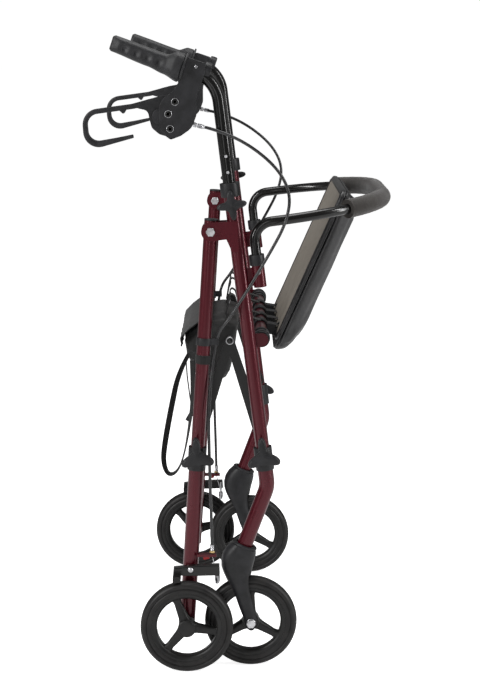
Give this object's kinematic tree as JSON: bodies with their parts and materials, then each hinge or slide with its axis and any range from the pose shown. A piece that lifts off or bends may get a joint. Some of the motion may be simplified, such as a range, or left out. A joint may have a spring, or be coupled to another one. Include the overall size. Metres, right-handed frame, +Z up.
{
  "type": "rollator walker",
  "caption": "Folding wheeled walking frame, shown folded, with hand brakes, telescoping legs and handles, flip-up padded seat, hoop backrest and pouch.",
  "frame": {"origin": "on the floor, under the middle of the folded walker's box", "axes": "+X forward, towards castors and backrest; +Y to the walker's left; +Z up"},
  "size_m": [0.4996, 0.596, 1.0306],
  "materials": {
    "frame_paint": "gloss burgundy metallic lacquer",
    "black_tube": "gloss black lacquer",
    "black_steel": "satin black paint",
    "zinc": "bright zinc plate",
    "black_plastic": "fine moulded grain",
    "wheel_plastic": "satin moulded",
    "tyre": "smooth rubber",
    "grip_rubber": "soft matte rubber",
    "foam": "closed cell foam sleeve",
    "seat_plastic": "taupe moulded grain",
    "vinyl": "padded vinyl cover",
    "nylon": "woven nylon",
    "webbing": "woven webbing",
    "cable": "smooth cable housing"
  },
  "bodies": {
    "front_frame": {"side_frame_right": "frame_paint", "side_frame_left": "frame_paint", "seat_tube": "frame_paint", "backrest_tube": "black_tube", "backrest_foam": "foam", "hinge_bolts": "zinc", "frame_collars": "black_plastic", "cable_upper": "cable", "pouch": "nylon"},
    "rear_frame": {"rear_frame": "frame_paint", "rear_leg_caps": "black_plastic", "cable_lower": "cable", "strap": "webbing"},
    "seat": {"seat_board": "seat_plastic", "seat_cushion": "vinyl", "seat_clips": "black_plastic"},
    "handle_right": {"handle_tube_right": "black_tube", "grip_right": "grip_rubber", "brake_body_right": "black_plastic"},
    "lever_right": {"brake_lever_right": "black_steel"},
    "handle_clamp_right": {"handle_knob_right": "black_plastic"},
    "rear_lower_right": {"rear_leg_lower_right": "frame_paint", "rear_leg_collar_right": "black_plastic", "rear_axle_right": "zinc"},
    "rear_clamp_right": {"rear_leg_knob_right": "black_plastic"},
    "arm_right": {"brake_arm_right": "black_steel"},
    "rear_wheel_right": {"rear_tyre_right": "tyre", "rear_hub_right": "wheel_plastic"},
    "front_lower_right": {"front_leg_lower_right": "frame_paint", "front_leg_collar_right": "black_plastic"},
    "front_clamp_right": {"front_leg_knob_right": "black_plastic"},
    "castor_right": {"castor_fork_right": "black_plastic", "castor_axle_right": "zinc"},
    "castor_wheel_right": {"castor_tyre_right": "tyre", "castor_hub_right": "wheel_plastic"},
    "front_link_right": {"front_link_right": "black_steel"},
    "rear_link_right": {"rear_link_right": "black_steel"},
    "button_right": {"snap_button_right": "zinc"},
    "handle_left": {"handle_tube_left": "black_tube", "grip_left": "grip_rubber", "brake_body_left": "black_plastic"},
    "lever_left": {"brake_lever_left": "black_steel"},
    "handle_clamp_left": {"handle_knob_left": "black_plastic"},
    "rear_lower_left": {"rear_leg_lower_left": "frame_paint", "rear_leg_collar_left": "black_plastic", "rear_axle_left": "zinc"},
    "rear_clamp_left": {"rear_leg_knob_left": "black_plastic"},
    "arm_left": {"brake_arm_left": "black_steel"},
    "rear_wheel_left": {"rear_tyre_left": "tyre", "rear_hub_left": "wheel_plastic"},
    "front_lower_left": {"front_leg_lower_left": "frame_paint", "front_leg_collar_left": "black_plastic"},
    "front_clamp_left": {"front_leg_knob_left": "black_plastic"},
    "castor_left": {"castor_fork_left": "black_plastic", "castor_axle_left": "zinc"},
    "castor_wheel_left": {"castor_tyre_left": "tyre", "castor_hub_left": "wheel_plastic"},
    "front_link_left": {"front_link_left": "black_steel"},
    "rear_link_left": {"rear_link_left": "black_steel"},
    "button_left": {"snap_button_left": "zinc"}
  },
  "joints": [
    {"name": "fold", "type": "hinge", "parent": "front_frame", "child": "rear_frame", "pos_m": [-0.05065, 0, 0.723], "axis": [0, 1, 0], "range_deg": [0, 41], "deforming": ["pouch", "cable_upper"]},
    {"name": "seat_flip", "type": "hinge", "parent": "front_frame", "child": "seat", "pos_m": [0.03095, 0, 0.545], "axis": [0, -1, 0], "range_deg": [0, 94]},
    {"name": "handle_height_right", "type": "slide", "parent": "front_frame", "child": "handle_right", "axis": [-0.124, 0, 0.9923], "range_m": [-0.0762, 0.0508]},
    {"name": "lever_pull_right", "type": "hinge", "parent": "handle_right", "child": "lever_right", "pos_m": [-0.12965, -0.25, 0.904], "axis": [0, 1, 0], "range_deg": [0, 18], "stiffness_Nm_per_rad": 1, "springref_deg": -8.59},
    {"name": "handle_knob_turn_right", "type": "hinge", "parent": "front_frame", "child": "handle_clamp_right", "pos_m": [-0.01693, -0.25, 0.766], "axis": [0, -1, 0], "range_deg": [0, 360]},
    {"name": "rear_leg_length_right", "type": "slide", "parent": "rear_frame", "child": "rear_lower_right", "axis": [-0.0623, 0, -0.9981], "range_m": [0, 0.0254]},
    {"name": "rear_knob_turn_right", "type": "hinge", "parent": "rear_lower_right", "child": "rear_clamp_right", "pos_m": [-0.0732, -0.25, 0.36195], "axis": [0, -1, 0], "range_deg": [0, 360]},
    {"name": "brake_press_right", "type": "hinge", "parent": "rear_lower_right", "child": "arm_right", "pos_m": [-0.08537, -0.25, 0.167], "axis": [0, -1, 0], "range_deg": [0, 4.5]},
    {"name": "rear_wheel_spin_right", "type": "hinge", "parent": "rear_lower_right", "child": "rear_wheel_right", "pos_m": [-0.09105, -0.281, 0.076], "axis": [0, 1, 0], "continuous": true},
    {"name": "front_leg_length_right", "type": "slide", "parent": "front_frame", "child": "front_lower_right", "axis": [0.124, 0, -0.9923], "range_m": [0, 0.0254]},
    {"name": "front_knob_turn_right", "type": "hinge", "parent": "front_lower_right", "child": "front_clamp_right", "pos_m": [0.0336, -0.25, 0.3618], "axis": [0, -1, 0], "range_deg": [0, 360]},
    {"name": "castor_swivel_right", "type": "hinge", "parent": "front_lower_right", "child": "castor_right", "pos_m": [0.00291, -0.25, 0.20354], "axis": [-0.3502, 0, -0.9367], "range_deg": [-10, 10]},
    {"name": "castor_spin_right", "type": "hinge", "parent": "castor_right", "child": "castor_wheel_right", "pos_m": [0.01395, -0.25, 0.076], "axis": [0, 1, 0], "continuous": true},
    {"name": "front_link_turn_right", "type": "hinge", "parent": "front_frame", "child": "front_link_right", "pos_m": [0.03107, -0.25, 0.382], "axis": [0, -1, 0], "range_deg": [0, 49.4]},
    {"name": "rear_link_turn_right", "type": "hinge", "parent": "rear_frame", "child": "rear_link_right", "pos_m": [-0.07195, -0.25, 0.382], "axis": [0, 1, 0], "range_deg": [0, 42.2]},
    {"name": "button_press_right", "type": "slide", "parent": "front_frame", "child": "button_right", "axis": [0, 1, 0], "range_m": [0, 0.0035], "stiffness_N_per_m": 600},
    {"name": "handle_height_left", "type": "slide", "parent": "front_frame", "child": "handle_left", "axis": [-0.124, 0, 0.9923], "range_m": [-0.0762, 0.0508]},
    {"name": "lever_pull_left", "type": "hinge", "parent": "handle_left", "child": "lever_left", "pos_m": [-0.12965, 0.25, 0.904], "axis": [0, 1, 0], "range_deg": [0, 18], "stiffness_Nm_per_rad": 1, "springref_deg": -8.59},
    {"name": "handle_knob_turn_left", "type": "hinge", "parent": "front_frame", "child": "handle_clamp_left", "pos_m": [-0.01693, 0.25, 0.766], "axis": [0, 1, 0], "range_deg": [0, 360]},
    {"name": "rear_leg_length_left", "type": "slide", "parent": "rear_frame", "child": "rear_lower_left", "axis": [-0.0623, 0, -0.9981], "range_m": [0, 0.0254]},
    {"name": "rear_knob_turn_left", "type": "hinge", "parent": "rear_lower_left", "child": "rear_clamp_left", "pos_m": [-0.0732, 0.25, 0.36195], "axis": [0, 1, 0], "range_deg": [0, 360]},
    {"name": "brake_press_left", "type": "hinge", "parent": "rear_lower_left", "child": "arm_left", "pos_m": [-0.08537, 0.25, 0.167], "axis": [0, -1, 0], "range_deg": [0, 4.5]},
    {"name": "rear_wheel_spin_left", "type": "hinge", "parent": "rear_lower_left", "child": "rear_wheel_left", "pos_m": [-0.09105, 0.281, 0.076], "axis": [0, 1, 0], "continuous": true},
    {"name": "front_leg_length_left", "type": "slide", "parent": "front_frame", "child": "front_lower_left", "axis": [0.124, 0, -0.9923], "range_m": [0, 0.0254]},
    {"name": "front_knob_turn_left", "type": "hinge", "parent": "front_lower_left", "child": "front_clamp_left", "pos_m": [0.0336, 0.25, 0.3618], "axis": [0, 1, 0], "range_deg": [0, 360]},
    {"name": "castor_swivel_left", "type": "hinge", "parent": "front_lower_left", "child": "castor_left", "pos_m": [0.00291, 0.25, 0.20354], "axis": [-0.3502, 0, -0.9367], "range_deg": [-10, 10]},
    {"name": "castor_spin_left", "type": "hinge", "parent": "castor_left", "child": "castor_wheel_left", "pos_m": [0.01395, 0.25, 0.076], "axis": [0, 1, 0], "continuous": true},
    {"name": "front_link_turn_left", "type": "hinge", "parent": "front_frame", "child": "front_link_left", "pos_m": [0.03107, 0.25, 0.382], "axis": [0, -1, 0], "range_deg": [0, 49.4]},
    {"name": "rear_link_turn_left", "type": "hinge", "parent": "rear_frame", "child": "rear_link_left", "pos_m": [-0.07195, 0.25, 0.382], "axis": [0, 1, 0], "range_deg": [0, 42.2]},
    {"name": "button_press_left", "type": "slide", "parent": "front_frame", "child": "button_left", "axis": [0, -1, 0], "range_m": [0, 0.0035], "stiffness_N_per_m": 600}
  ],
  "couplings": [
    {"joint": "brake_press_right", "follows": "lever_pull_right", "ratio": 0.25},
    {"joint": "front_link_turn_right", "follows": "fold", "ratio": 1.1984},
    {"joint": "rear_link_turn_right", "follows": "fold", "ratio": 1.0222},
    {"joint": "brake_press_left", "follows": "lever_pull_left", "ratio": 0.25},
    {"joint": "front_link_turn_left", "follows": "fold", "ratio": 1.1984},
    {"joint": "rear_link_turn_left", "follows": "fold", "ratio": 1.0222}
  ]
}
